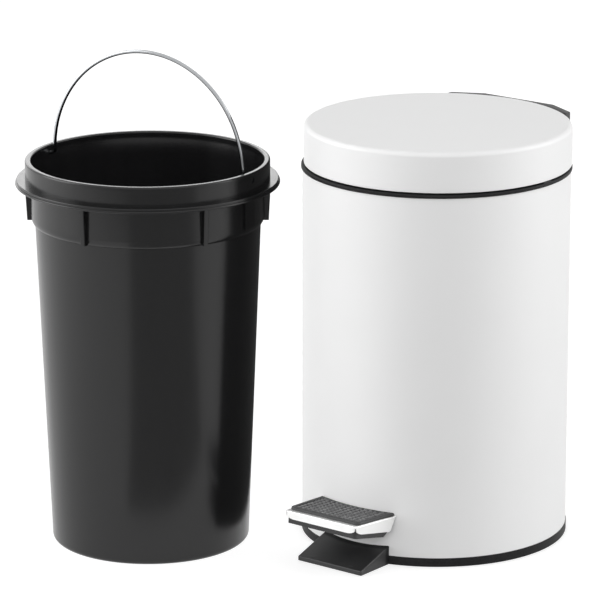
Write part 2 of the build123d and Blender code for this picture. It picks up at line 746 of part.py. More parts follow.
with BuildPart() as lid_bracket:
    with BuildSketch(Plane.XY.offset(bracket_bottom)):
        with BuildLine():
            Polyline(
                (-bracket_end_half, 0),
                (-bracket_end_half, bracket_end_y),
                (-bracket_flat_half, bracket_back),
                (bracket_flat_half, bracket_back),
                (bracket_end_half, bracket_end_y),
                (bracket_end_half, 0),
                close=True,
            )
        make_face()
        with Locations((0, lid_setback)):
            Circle(lid_radius + seat_clearance, mode=Mode.SUBTRACT)
        Rectangle(4 * body_radius, body_radius, mode=Mode.SUBTRACT)
    extrude(amount=bracket_top - bracket_bottom)
    upper_rim = lid_bracket.edges().group_by(Axis.Z)[-1]
    fillet(
        [e for e in upper_rim if e.geom_type == GeomType.LINE and e.center().Y > bracket_end_y],
        radius=min(bracket_edge_radius, bracket_end_depth / 3),
    )
    for start in (-arm_outer, arm_inner):
        with BuildSketch(Plane.YZ.offset(start)):
            with BuildLine():
                Polyline(
                    (arm_front, hinge_z),
                    (arm_front, bracket_bottom + knuckle_radius),
                    (bracket_back, bracket_bottom + knuckle_radius),
                    (arm_back, bracket_bottom - knuckle_radius / 2),
                    (arm_back, hinge_z),
                    close=True,
                )
            make_face()
            with Locations((hinge_y, hinge_z)):
                Circle(knuckle_radius)
        extrude(amount=arm_outer - arm_inner)
    web_bottom = hinge_z + knuckle_radius + swing_clearance
    with Locations((0, (web_front + bracket_back) / 2, web_bottom)):
        Box(2 * arm_outer, bracket_web, bracket_bottom + cut_past - web_bottom, align=UP)
    with Locations(Plane(origin=(0, hinge_y, hinge_z), z_dir=(1, 0, 0))):
        Cylinder(hinge_pin_radius + running_fit, 4 * arm_outer, mode=Mode.SUBTRACT)
    crank_rivet_z = (web_bottom + bracket_bottom) / 2
    with Locations(Plane(origin=(0, web_front, crank_rivet_z), z_dir=(0, 1, 0))):
        Cylinder(rivet_radius + fixed_fit, 4 * bracket_web, mode=Mode.SUBTRACT)
    for side in (-1, 1):
        with Locations(radial_plane(side * lid_rivet_angle, lid_radius, lid_rivet_z, lid_setback)):
            Cylinder(rivet_radius + fixed_fit, 2 * lid_rivet_grip, mode=Mode.SUBTRACT)

with BuildPart() as lid_rivets:
    for side in (-1, 1):
        head_seat = lid_inner - seat_clearance
        with Locations(radial_plane(side * lid_rivet_angle, head_seat, lid_rivet_z, lid_setback)):
            Cylinder(rivet_head_radius, rivet_head_height, align=DOWN)
            Cylinder(rivet_radius, steel_sheet + lid_rivet_grip, align=UP)

# Steel crank on the hinge pin: the rod lifts its nose, and its tail carries the lid's bracket
tail_front = arm_front + seat_clearance

with BuildPart() as lid_crank:
    with BuildSketch(Plane.YZ.offset(-crank_width / 2)):
        with Locations((hinge_y, hinge_z)):
            Circle(knuckle_radius)
            Rectangle(
                crank_reach,
                2 * crank_half_thick,
                rotation=180 + lid_open / 2,
                align=(Align.MIN, Align.CENTER),
            )
        with Locations((crank_tip_y, crank_tip_z)):
            Circle(crank_half_thick)
        with Locations((tail_front, hinge_z)):
            Rectangle(
                web_front - tail_front,
                bracket_bottom - part_clearance - hinge_z,
                align=(Align.MIN, Align.MIN),
            )
        with Locations((hinge_y, hinge_z)):
            Circle(hinge_pin_radius + running_fit, mode=Mode.SUBTRACT)
    extrude(amount=crank_width)
    with Locations(Plane(origin=(0, web_front, crank_rivet_z), z_dir=(0, 1, 0))):
        Cylinder(rivet_radius + fixed_fit, 4 * bracket_web, mode=Mode.SUBTRACT)

with BuildPart() as crank_rivet:
    with Locations(Plane(origin=(0, bracket_back, crank_rivet_z), z_dir=(0, 1, 0))):
        Cylinder(rivet_head_radius, rivet_head_height, align=UP)
        Cylinder(rivet_radius, bracket_back - tail_front, align=DOWN)

# Inner bucket: it drops into the can and hangs on the rim ring by its flange
flange_z = rim_top - plate_top - bucket_floor_clearance
flange_top = flange_z + flange_thickness
flange_radius = body_radius - flange_inset
step_radius = flange_radius - flange_step_inset
step_top = flange_top + flange_step_rise
collar_radius = flange_radius - collar_step
collar_inner = collar_radius - collar_wall
collar_top = flange_top + collar_height
upper_wall = collar_radius - upper_wall_step
upper_inner = upper_wall - bucket_wall
ledge_top = flange_z - ledge_drop
ledge_bottom = ledge_top - ledge_height
lower_wall = upper_wall - ledge_step
foot_radius = lever_inner - bucket_foot_clearance
bucket_ring_radius = foot_radius - bucket_ring_inset
fin_radius = rim_inner - fin_clearance
fin_foot = ledge_top - fin_past_ledge
fin_root = upper_wall - bucket_wall / 2
stand_distance = body_radius + flange_radius + stand_gap
bucket_x = stand_distance * cos(radians(stand_direction))
bucket_y = stand_distance * sin(radians(stand_direction))
bail_z = collar_top - bail_below_rim
bail_reach = collar_inner - bail_side_gap
turn_x = cos(radians(bucket_turn))
turn_y = sin(radians(bucket_turn))
bucket_axis = Axis((bucket_x, bucket_y, 0), (0, 0, 1))
bucket_plane = Plane(origin=(bucket_x, bucket_y, 0), x_dir=(turn_x, turn_y, 0), z_dir=(0, 0, 1))
bucket_section = Plane(
    origin=(bucket_x, bucket_y, 0), x_dir=(turn_x, turn_y, 0), z_dir=(turn_y, -turn_x, 0)
)
bail_line = Plane(origin=(bucket_x, bucket_y, bail_z), x_dir=(0, 0, 1), z_dir=(turn_x, turn_y, 0))

with BuildPart() as bucket:
    with BuildSketch(bucket_section) as bucket_profile:
        with BuildLine():
            Polyline(
                (0, bucket_ring_rise),
                (bucket_ring_radius, bucket_ring_rise),
                (bucket_ring_radius, 0),
                (foot_radius, 0),
                (lower_wall, ledge_bottom),
                (upper_wall, ledge_top),
                (upper_wall, flange_z),
                (flange_radius, flange_z),
                (flange_radius, flange_top),
                (step_radius, flange_top),
                (step_radius, step_top),
                (collar_radius, step_top),
                (collar_radius, collar_top),
                (collar_inner, collar_top),
                (collar_inner, collar_top - collar_wall),
                (upper_inner, flange_top),
                (upper_inner, ledge_top),
                (lower_wall - bucket_wall, ledge_bottom),
                (foot_radius - bucket_wall, bucket_floor),
                (bucket_ring_radius - bucket_wall, bucket_floor),
                (bucket_ring_radius - bucket_wall, bucket_floor + bucket_ring_rise),
                (0, bucket_floor + bucket_ring_rise),
                close=True,
            )
        make_face()
        foot_corner = bucket_profile.vertices().group_by(Axis.Y)[0].sort_by(Axis.X)[-1]
        fillet(foot_corner, radius=min(bucket_edge_radius, 2 * bucket_wall))
        fillet(
            bucket_profile.vertices().group_by(Axis.Y)[-1],
            radius=min(collar_edge_radius, collar_wall / 2.2),
        )
        fillet(
            bucket_profile.vertices().group_by(Axis.X)[-1],
            radius=min(flange_edge_radius, flange_thickness / 2.2),
        )
    revolve(axis=bucket_axis)
    for number in range(fin_count):
        fin_angle = radians(bucket_turn + (number + 0.5) * 360 / fin_count)
        fin_plane = Plane(
            origin=(bucket_x, bucket_y, 0),
            x_dir=(cos(fin_angle), sin(fin_angle), 0),
            z_dir=(sin(fin_angle), -cos(fin_angle), 0),
        )
        with BuildSketch(fin_plane):
            with BuildLine():
                Polyline(
                    (fin_root, flange_z + flange_thickness / 2),
                    (fin_radius, flange_z + flange_thickness / 2),
                    (fin_radius - fin_end_step, fin_foot),
                    (fin_root - ledge_step * fin_past_ledge / ledge_height, fin_foot),
                    (fin_root, ledge_top),
                    close=True,
                )
            make_face()
        extrude(amount=fin_thickness / 2, both=True)
    with Locations(*[bucket_plane * Location((side * upper_wall, 0, ledge_top)) for side in (-1, 1)]):
        Box(2 * bail_pad_proud, bail_pad_width, ledge_drop + flange_thickness / 2, align=UP)
    with Locations(bail_line):
        Cylinder(bail_wire_radius + bail_fit, 4 * collar_radius, mode=Mode.SUBTRACT)

# Chrome wire bail, upright, with its ends turned out into the collar's holes
bail_plane = Plane(
    origin=(bucket_x, bucket_y, bail_z), x_dir=(turn_x, turn_y, 0), z_dir=(turn_y, -turn_x, 0)
)

with BuildPart() as bail:
    with BuildLine(bail_plane) as bail_path:
        bend = bail_bend_radius
        end_x = collar_radius - bail_end_inset
        Line((end_x, 0), (bail_reach + bend, 0))
        CenterArc((bail_reach + bend, bend), bend, -90, -90)
        Line((bail_reach, bend), (bail_reach, bail_leg))
        CenterArc((0, bail_leg), bail_reach, 0, 180)
        Line((-bail_reach, bail_leg), (-bail_reach, bend))
        CenterArc((-bail_reach - bend, bend), bend, 0, -90)
        Line((-bail_reach - bend, 0), (-end_x, 0))
    with BuildSketch(Plane(origin=bail_path.wire() @ 0, z_dir=bail_path.wire() % 0)):
        Circle(bail_wire_radius)
    sweep(path=bail_path.wire())

# Every piece, under the name it is called by
pieces = {
    "floor_ring": floor_ring,
    "wedge_pads": wedge_pads,
    "base_ring": base_ring,
    "bottom_plate": bottom_plate,
    "base_screws": base_screws,
    "body_shell": body_shell,
    "rim_ring": rim_ring,
    "lid_bumpers": lid_bumpers,
    "hinge_housing": hinge_housing,
    "hinge_screws": hinge_screws,
    "hinge_pin": hinge_pin,
    **guides,
    "guide_rivets": guide_rivets,
    "lift_rod": lift_rod,
    "rod_cap": rod_cap,
    **pivot_brackets,
    "bracket_rivets": bracket_rivets,
    "pivot_pins": pivot_pins,
    "pedal_lever": pedal_lever,
    "pedal_carrier": pedal_carrier,
    "pedal_screws": pedal_screws,
    "pedal_tray": pedal_tray,
    "pedal_tread": pedal_tread,
    "lid_shell": lid_shell,
    "lid_bracket": lid_bracket,
    "lid_rivets": lid_rivets,
    "lid_crank": lid_crank,
    "crank_rivet": crank_rivet,
    "bucket": bucket,
    "bail": bail,
}

for name, piece in pieces.items():
    piece.part.label = name
    export_step(piece.part, f"parts/{name}.step")

print(f"lid opens {lid_open:.2f} degrees, pedal swings {pedal_swing:.4f} degrees")
print(f"rod rises {rod_travel:.4f}, hinge at y {hinge_y:.2f} z {hinge_z:.2f}, rod at y {rod_y:.3f}")
print(f"bucket at x {bucket_x:.3f} y {bucket_y:.3f}, bail at z {bail_z:.3f}")
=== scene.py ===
"""Pedal trash can with its inner bucket beside it: the looks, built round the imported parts.

Sizes are in millimetres, in the parts' own frame: +Z up, the origin on the can's axis at
floor level, the pedal towards -Y and the lid's hinge at +Y. Meshes are made in metres.
"""

import bmesh
import bpy
import numpy as np
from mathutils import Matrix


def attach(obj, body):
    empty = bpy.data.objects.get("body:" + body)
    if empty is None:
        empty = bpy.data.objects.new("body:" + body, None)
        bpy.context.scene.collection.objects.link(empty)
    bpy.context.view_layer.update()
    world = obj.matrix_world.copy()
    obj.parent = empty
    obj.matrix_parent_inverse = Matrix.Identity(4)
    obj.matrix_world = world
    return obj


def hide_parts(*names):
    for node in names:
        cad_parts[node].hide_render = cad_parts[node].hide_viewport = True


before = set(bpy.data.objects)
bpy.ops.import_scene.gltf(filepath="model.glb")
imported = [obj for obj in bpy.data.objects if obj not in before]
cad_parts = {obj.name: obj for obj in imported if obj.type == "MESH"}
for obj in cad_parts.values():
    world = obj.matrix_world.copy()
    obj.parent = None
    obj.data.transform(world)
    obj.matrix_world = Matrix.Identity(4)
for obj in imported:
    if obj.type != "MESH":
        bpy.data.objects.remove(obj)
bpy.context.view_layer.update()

# Floor ring and wedge pads
# Soft black rubber, moulded: a ring pressed into a groove under the base, and two discs in
# sockets under the wedge. They keep the can from sliding when the pedal is pressed.

MM = 0.001


def linear(colour):
    """An sRGB hex colour as linear red, green, blue and alpha."""
    share = np.array([int(colour[at : at + 2], 16) for at in (1, 3, 5)]) / 255
    value = np.where(share <= 0.04045, share / 12.92, ((share + 0.055) / 1.055) ** 2.4)
    return (*value, 1.0)


def per_mm(size):
    """Texture scale for a pattern whose features are that many millimetres across."""
    return 1 / (size * MM)


def add_node(tree, kind, settings):
    """Adds a shader node. A key that is one of its sockets is filled, or linked when the
    value is another node's output; any other key is one of the node's own properties."""
    made = tree.nodes.new("ShaderNode" + kind)
    for key, value in settings.items():
        if isinstance(key, str) and key not in made.inputs:
            setattr(made, key, value)
        elif isinstance(value, bpy.types.NodeSocket):
            tree.links.new(value, made.inputs[key])
        else:
            made.inputs[key].default_value = value
    return made


def start_finish(name, colour, roughness, metallic=0.0):
    """A new material with its plain values set on the shader, and the piece's own coordinates."""
    finish = bpy.data.materials.new(name)
    finish.use_nodes = True
    tree = finish.node_tree
    shader = tree.nodes["Principled BSDF"]
    shader.inputs["Base Color"].default_value = linear(colour)
    shader.inputs["Roughness"].default_value = roughness
    shader.inputs["Metallic"].default_value = metallic
    place = add_node(tree, "TexCoord", {}).outputs["Object"]
    return finish, tree, shader, place


def vary(tree, shader, amount, colours, roughness):
    """Runs the colour between two hex values and the roughness between two numbers."""
    tint = add_node(
        tree,
        "Mix",
        {"data_type": "RGBA", 0: amount, 6: linear(colours[0]), 7: linear(colours[1])},
    )
    gloss = add_node(
        tree, "MapRange", {"Value": amount, "To Min": roughness[0], "To Max": roughness[1]}
    )
    tree.links.new(tint.outputs[2], shader.inputs["Base Color"])
    tree.links.new(gloss.outputs["Result"], shader.inputs["Roughness"])


def raise_grain(tree, shader, height, depth):
    """Bump of that depth in millimetres from a height that runs from 0 to 1."""
    grain = add_node(tree, "Bump", {"Height": height, "Distance": depth * MM})
    tree.links.new(grain.outputs["Normal"], shader.inputs["Normal"])


def dress(finish, *names):
    """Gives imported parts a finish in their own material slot."""
    for name in names:
        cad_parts[name].material_slots[0].material = finish


# Natural rubber, moulded and dusted with talc: dull, with a faint grey bloom in patches
rubber, tree, shader, place = start_finish("moulded black rubber", "#1c1c1d", 0.8)
bloom = add_node(tree, "TexNoise", {"Vector": place, "Scale": per_mm(9), "Detail": 3.0})
vary(tree, shader, bloom.outputs["Fac"], ("#161617", "#2a2a2b"), (0.68, 0.9))
pores = add_node(tree, "TexNoise", {"Vector": place, "Scale": per_mm(0.8), "Detail": 2.0})
raise_grain(tree, shader, pores.outputs["Fac"], 0.03)
dress(rubber, "floor_ring", "wedge_pads")

# Base ring with its foot wedge
# One black ABS moulding under the wall. Its wedge reaches forward under the pedal, so the
# can doesn't tip, and its upper face is spark-eroded to a fine matt grain.

painted_shade_within, grained_from = 86.0, 88.0
painted_shade_sheen, grained_sheen = 0.1, 0.5

# ABS moulded in a spark-eroded tool: matt black with a fine grain that greys its edges. The
# real grain is about 0.15 mm and is drawn at 0.9 mm, so that it shows at all. The rings round
# the wall are given less sheen, so that they mirror less of the floor: painted shade, low round the
# base
black_plastic, tree, shader, place = start_finish("grained black ABS", "#1c1c1d", 0.5)
mottle = add_node(tree, "TexNoise", {"Vector": place, "Scale": per_mm(14), "Detail": 4.0})
sparks = add_node(tree, "TexNoise", {"Vector": place, "Scale": per_mm(0.9), "Detail": 3.0})
speckle = add_node(
    tree,
    "Mix",
    {"data_type": "FLOAT", 0: 0.7, 2: mottle.outputs["Fac"], 3: sparks.outputs["Fac"]},
)
vary(tree, shader, speckle.outputs[0], ("#020202", "#333334"), (0.36, 0.6))
raise_grain(tree, shader, sparks.outputs["Fac"], 0.08)
level_place = add_node(
    tree, "VectorMath", {"operation": "MULTIPLY", 0: place, 1: (1.0, 1.0, 0.0)}
)
off_axis = add_node(tree, "VectorMath", {"operation": "LENGTH", 0: level_place.outputs["Vector"]})
# Painted shade: within this radius the ring gets less sheen than the wedge, so it mirrors less of
# the white floor
sheen = add_node(
    tree,
    "MapRange",
    {
        "Value": off_axis.outputs["Value"],
        "From Min": painted_shade_within * MM,
        "From Max": grained_from * MM,
        "To Min": painted_shade_sheen,
        "To Max": grained_sheen,
    },
)
tree.links.new(sheen.outputs["Result"], shader.inputs["Specular IOR Level"])
dress(black_plastic, "base_ring")

# Bottom plate, pivot brackets, lever, rod and fasteners
# Zinc-plated mild steel: the plate closes the wall's foot, the brackets are riveted to it,
# and the lever turns on their pins and lifts the rod.

# Bright zinc on rolled steel: bluish grey, with a soft crystal mottle some 3 mm across
zinc, tree, shader, place = start_finish("bright zinc plate", "#b9bdc1", 0.36, 1.0)
crystals = add_node(tree, "TexVoronoi", {"Vector": place, "Scale": per_mm(3)})
clouds = add_node(tree, "TexNoise", {"Vector": place, "Scale": per_mm(6), "Detail": 4.0})
spangle = add_node(
    tree,
    "Mix",
    {"data_type": "FLOAT", 0: 0.6, 2: crystals.outputs["Color"], 3: clouds.outputs["Fac"]},
)
vary(tree, shader, spangle.outputs[0], ("#a4a9ae", "#c9cccf"), (0.28, 0.46))
dress(
    zinc,
    "bottom_plate",
    "base_screws",
    "left_pivot_bracket",
    "right_pivot_bracket",
    "bracket_rivets",
    "pivot_pins",
    "pedal_lever",
    "pedal_screws",
    "guide_rivets",
    "lift_rod",
    "hinge_screws",
    "hinge_pin",
    "lid_rivets",
    "lid_crank",
    "crank_rivet",
)
dress(black_plastic, "lower_rod_guide", "upper_rod_guide", "rod_cap")

# Wall
# Rolled sheet steel, powder-coated white inside and out, standing in the base ring. A slot in
# front lets the lever's tongue through, and one behind lets the lid's crank in.

wall_radius = 83.5
steel_sheet = 0.6
wall_foot, wall_top = 6.0, 234.9
tongue_slot = (11.5, 14.95, 29.05)
crank_slot = (4.5, 218.79, 233.21)
wall_rings = (75.0, 120.0, 165.0)
wall_steps = 240
clear_beside = 0.4
merge_within = 0.001


def slot_lines(half_width, low, high):
    """A slot's half angle on the wall, in degrees, with its lower and upper edge."""
    return np.degrees(np.arcsin(half_width / wall_radius)), low, high


def grid_quads(rows, columns, closed):
    """Corner numbers of each cell of a grid of points counted row by row. A closed grid's
    last column runs on into its first."""
    number = np.arange(rows * columns).reshape(rows, columns)
    if closed:
        number = np.hstack([number, number[:, :1]])
    corners = [number[:-1, :-1], number[:-1, 1:], number[1:, 1:], number[1:, :-1]]
    return np.stack(corners, axis=-1)


def make_piece(name, points, faces, finish, crease=35.0):
    """A mesh object from points in millimetres and faces of corner numbers. Points that
    coincide at poles and folds are merged, the closed skin is turned outwards, and edges
    sharper than the crease angle stay crisp."""
    mesh = bpy.data.meshes.new(name)
    mesh.from_pydata(np.reshape(points, (-1, 3)) * MM, [], faces)
    work = bmesh.new()
    work.from_mesh(mesh)
    bmesh.ops.remove_doubles(work, verts=work.verts, dist=merge_within * MM)
    loose = [corner for corner in work.verts if not corner.link_faces]
    bmesh.ops.delete(work, geom=loose, context="VERTS")
    bmesh.ops.recalc_face_normals(work, faces=work.faces)
    work.to_mesh(mesh)
    work.free()
    mesh.shade_smooth()
    mesh.set_sharp_from_angle(angle=np.radians(crease))
    mesh.materials.append(finish)
    piece = bpy.data.objects.new(name, mesh)
    bpy.context.scene.collection.objects.link(piece)
    shading = piece.modifiers.new("even shading", "WEIGHTED_NORMAL")
    shading.keep_sharp = True
    return piece


def pierced_wall(angles, heights, is_open):
    """An upright wall: points at radius times cosine and sine of the angle, on an outer and
    an inner skin over one angle-by-height grid. Open cells are left out of both skins, and
    a strip joins the skins along every edge between a kept cell and an open or missing one."""
    turn, height = np.meshgrid(np.radians(angles), heights, indexing="ij")
    skins = [
        np.stack([radius * np.cos(turn), radius * np.sin(turn), height], axis=-1)
        for radius in (wall_radius, wall_radius - steel_sheet)
    ]
    count = turn.size
    number = np.arange(count).reshape(turn.shape)
    ahead = np.roll(number, -1, axis=0)
    cells = np.stack([number[:, :-1], ahead[:, :-1], ahead[:, 1:], number[:, 1:]], axis=-1)
    middle = (angles + np.roll(angles, -1)) / 2
    middle[-1] = (angles[-1] + angles[0] + 360) / 2
    kept = ~is_open(middle[:, None], ((heights[1:] + heights[:-1]) / 2)[None, :])
    padded = np.pad(kept, ((0, 0), (1, 1)))
    across, level = np.nonzero(padded[:, 1:] != padded[:, :-1])
    flat = np.stack([number[across, level], ahead[across, level]], axis=-1)
    side, step = np.nonzero(kept != np.roll(kept, 1, axis=0))
    upright = np.stack([number[side, step], number[side, step + 1]], axis=-1)
    edges = np.vstack([flat, upright])
    strips = np.hstack([edges, edges[:, ::-1] + count])
    faces = np.vstack([cells[kept], cells[kept][:, ::-1] + count, strips])
    return np.stack(skins), faces.tolist()


# Polyester powder, baked on: a satin white with the soft dimpling of orange peel, about
# 2 mm from dimple to dimple, and hardly any change of colour
powder_coat, tree, shader, place = start_finish("white powder coat", "#f0f0f0", 0.45)
drift = add_node(tree, "TexNoise", {"Vector": place, "Scale": per_mm(40), "Detail": 2.0})
vary(tree, shader, drift.outputs["Fac"], ("#efefef", "#f2f2f2"), (0.4, 0.5))
peel = add_node(tree, "TexNoise", {"Vector": place, "Scale": per_mm(2), "Detail": 1.0})
raise_grain(tree, shader, peel.outputs["Fac"], 0.02)

# Even lines round the wall, without those that lie close beside a slot's edge
tongue_half, tongue_low, tongue_high = slot_lines(*tongue_slot)
crank_half, crank_low, crank_high = slot_lines(*crank_slot)
slot_angles = [270 - tongue_half, 270 + tongue_half, 90 - crank_half, 90 + crank_half]
even_angles = np.arange(wall_steps) * 360 / wall_steps
clear_of_slots = np.abs(even_angles[:, None] - slot_angles).min(axis=1) > clear_beside
wall_angles = np.sort(np.concatenate([even_angles[clear_of_slots], slot_angles]))
wall_heights = np.array(
    [wall_foot, tongue_low, tongue_high, *wall_rings, crank_low, crank_high, wall_top]
)


def in_a_slot(angle, height):
    """True where a cell's middle lies in the tongue's or the crank's slot."""
    in_front = (np.abs(angle - 270) < tongue_half) & (height > tongue_low) & (height < tongue_high)
    behind = (np.abs(angle - 90) < crank_half) & (height > crank_low) & (height < crank_high)
    return in_front | behind


points, faces = pierced_wall(wall_angles, wall_heights, in_a_slot)
can_wall = make_piece("can_wall", points, faces, powder_coat)
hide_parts("body_shell")
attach(can_wall, "can")

# Rim ring and its bumpers
# A black ABS ring clipped over the wall's upper edge. Its skirt goes down inside the wall,
# with a notch behind for the rod's cap, and two rubber bumpers on it carry the lid.

rim_top = 236.9
rim_inner, rim_outer = 79.5, 84.3
rim_edge = 0.8
skirt_inner, skirt_outer = 80.8, 82.6
skirt_foot = 225.9
notch_half, notch_step = 3.8, 0.01
ring_steps = 240


def arc(centre, radius, start, end, steps=6):
    """Points of a circle from one angle to another, in degrees."""
    turn = np.radians(np.linspace(start, end, steps + 1))
    return np.stack([centre[0] + radius * np.cos(turn), centre[1] + radius * np.sin(turn)], axis=-1)


def turned(radius, height, angles, centre=(0.0, 0.0)):
    """Points of a turned form: radius and height, one row per profile point, carried round an
    upright axis. Either may change with the angle."""
    across, up, turn = np.broadcast_arrays(radius, height, angles)
    return np.stack(
        [centre[0] + across * np.cos(turn), centre[1] + across * np.sin(turn), up], axis=-1
    )


rim_profile = np.vstack(
    [
        [(rim_inner, wall_top), (rim_inner, rim_top)],
        arc((rim_outer - rim_edge, rim_top - rim_edge), rim_edge, 90, 0),
        [(rim_outer, wall_top), (skirt_outer, wall_top), (skirt_outer, skirt_foot)],
        [(skirt_inner, skirt_foot), (skirt_inner, wall_top), (rim_inner, wall_top)],
    ]
)
notch_turn = np.degrees(np.arcsin(notch_half / skirt_outer))
notch_lines = [
    90 - notch_turn - notch_step,
    90 - notch_turn,
    90 + notch_turn,
    90 + notch_turn + notch_step,
]
even_angles = np.arange(ring_steps) * 360 / ring_steps
clear_of_notch = np.abs(even_angles[:, None] - notch_lines).min(axis=1) > clear_beside
rim_angles = np.sort(np.concatenate([even_angles[clear_of_notch], notch_lines]))
in_notch = np.abs(rim_angles - 90) < notch_turn + notch_step / 2
rim_height = np.where(in_notch & (rim_profile[:, 1:] < wall_top), wall_top, rim_profile[:, 1:])
points = turned(rim_profile[:, :1], rim_height, np.radians(rim_angles))
faces = grid_quads(*points.shape[:2], closed=True).reshape(-1, 4).tolist()
rim_band = make_piece("rim_band", points, faces, black_plastic)
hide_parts("rim_ring")
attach(rim_band, "can")
dress(rubber, "lid_bumpers")

# Hinge housing and pedal carrier
# Black ABS mouldings: the housing is screwed to the back of the wall and holds the hinge
# pin, and the carrier is screwed to the lever's tongue under the tray.

dress(black_plastic, "hinge_housing", "pedal_carrier")

# Pedal tray
# Pressed from satin stainless sheet: a flat top with its front and sides folded down, a
# relief at each front corner, and the side flanges cut back on a slant towards the wall.

pivot_y, pivot_z = -8.0, 22.0
pedal_tilt = np.radians(3.663)
pedal_front, pedal_back_radius = -110.3, 84.8
pedal_front_half, pedal_back_half = 27.4, 28.8
tray_top = 6.0
tray_sheet = 0.8
tray_bend = 0.95
tray_corner = 2.0
front_drop = 5.0
side_front_drop, side_rear_drop = 5.3, 10.0
rear_slant = 4.8
slit_drop, slit_half = 1.5, 0.3
flange_round, flange_round_rise = 6.5, 3.1
face_inset = 2.4
side_steps, corner_steps, front_steps = 60, 24, 120


def on_lever(x, y, z):
    """Points given across, along and above the tilted lever, as points of the part's frame."""
    along = pivot_y + y * np.cos(pedal_tilt) + z * np.sin(pedal_tilt)
    above = pivot_z - y * np.sin(pedal_tilt) + z * np.cos(pedal_tilt)
    return np.stack(np.broadcast_arrays(x, along, above), axis=-1)


def back_edge(x):
    """How far along the lever the pedal's hollow back edge lies: a circle about the can's axis."""
    return -pivot_y - np.sqrt(pedal_back_radius**2 - x**2)


def spread(start, end, count):
    """Points evenly along a straight line, without its last point."""
    share = np.arange(count)[:, None] / count
    return np.array(start) + share * (np.array(end) - np.array(start))


side_reach = back_edge(pedal_back_half)
corner_y = pedal_front + tray_corner
corner_x = pedal_front_half - tray_corner
right_side = spread((pedal_back_half, side_reach), (pedal_front_half, corner_y), side_steps)
right_corner = arc((corner_x, corner_y), tray_corner, 0, -90, corner_steps)
front_line = spread((corner_x, pedal_front), (-corner_x, pedal_front), front_steps)[1:]
left_corner = arc((-corner_x, corner_y), tray_corner, -90, -180, corner_steps)
left_side = right_side[:0:-1] * (-1, 1)
back_x = np.linspace(-pedal_back_half, pedal_back_half, side_steps, endpoint=False)
back_line = np.stack([back_x, back_edge(back_x)], axis=-1)
outline = np.vstack([right_side, right_corner, front_line, left_corner, left_side, back_line])
is_back = np.arange(len(outline)) >= len(outline) - len(back_line)
is_back[0] = True

step_along = np.roll(outline, -1, axis=0) - np.roll(outline, 1, axis=0)
inwards = np.stack([-step_along[:, 1], step_along[:, 0]], axis=-1)
inwards *= -1 / np.linalg.norm(inwards, axis=1, keepdims=True)


def flange_drop(x, y):
    """How far the folded edge hangs below the tray's top: the front's own drop, or the side's,
    which is slanted off at the rear. Each lower corner is a quarter of an ellipse, and a
    narrow slit parts the two flanges at the bend between them."""
    length = side_reach - corner_y
    side = side_front_drop + (side_rear_drop - side_front_drop) * (y - corner_y) / length
    slant = tray_sheet + (side_reach - y) * (side_rear_drop - tray_sheet) / rear_slant
    side = np.minimum(side, slant)
    half_corner = tray_corner * np.sqrt(0.5)
    from_bend = np.hypot(np.abs(x) - corner_x - half_corner, y - corner_y + half_corner)
    is_front = pedal_front_half - np.abs(x) > y - pedal_front
    share = np.clip(from_bend / flange_round, 0, 1)
    eased = np.where(is_front, front_drop, side)
    eased = eased - flange_round_rise * (1 - np.sqrt(1 - (1 - share) ** 2))
    rounded = np.where(y - pedal_front < 2 * flange_round, eased, side)
    return np.where(from_bend < slit_half, slit_drop, rounded)


# Rows of points from the top face round the bend, down the flange and back up inside it, each
# set in from the outline and down from the top. The back edge is cut square and has no flange
drop = np.where(is_back, tray_sheet, flange_drop(*outline.T))
bend = np.where(is_back, 0.0, 1.0)
outer_bend = arc((tray_bend, -tray_bend), tray_bend, 90, 180, 6)
inner_bend = arc((tray_bend, -tray_bend), tray_bend - tray_sheet, 180, 90, 6)
rows = [(np.full(len(drop), face_inset), np.zeros(len(drop)))]
rows += [(inset * bend, depth * bend) for inset, depth in outer_bend]
rows += [(0 * drop, -drop), (tray_sheet * bend, -drop)]
rows += [
    (inset * bend, np.where(is_back, -tray_sheet, np.maximum(depth, -drop)))
    for inset, depth in inner_bend
]
rows += [(np.full(len(drop), face_inset), np.full(len(drop), -tray_sheet))]
plan = [outline + inwards * inset[:, None] for inset, depth in rows]
points = np.stack(
    [on_lever(at[:, 0], at[:, 1], tray_top + depth) for at, (inset, depth) in zip(plan, rows)]
)
faces = grid_quads(*points.shape[:2], closed=True).reshape(-1, 4).tolist()
stations = len(outline)
faces.append(list(range(stations)))
faces.append(list(range(points.size // 3 - stations, points.size // 3))[::-1])

# Stainless sheet, skin-rolled to a satin face: it mirrors softly, with fine rolling lines across
# the pedal. The lines are about 0.05 mm apart in life and are drawn at 0.35 mm
roll_stretch = 0.04
bright_steel, tree, shader, place = start_finish("satin stainless sheet", "#e3e3e2", 0.48, 1.0)
along_roll = add_node(tree, "Mapping", {"Vector": place, "Scale": (roll_stretch, 1.0, 1.0)})
lines = add_node(
    tree, "TexNoise", {"Vector": along_roll.outputs["Vector"], "Scale": per_mm(0.35), "Detail": 2.0}
)
vary(tree, shader, lines.outputs["Fac"], ("#dedede", "#ebebea"), (0.42, 0.54))
pedal_cover = make_piece("pedal_cover", points, faces, bright_steel)
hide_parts("pedal_tray")
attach(pedal_cover, "pedal")

# Pedal tread
# A black PVC pad glued to the tray. A plain border stands round a sunk field of small square
# studs, in rows along the pedal, which grip the shoe.

tread_height = 1.8
tread_side_inset, tread_front_inset = 0.8, 3.2
tread_corner = 3.0
tread_border = 2.4
tread_edge = 0.9
field_depth, field_slope = 1.1, 0.3
stud_across, stud_along = 3.72, 3.42
stud_slope = 0.6
groove_half = 0.35
tread_columns, tread_rows = 281, 145

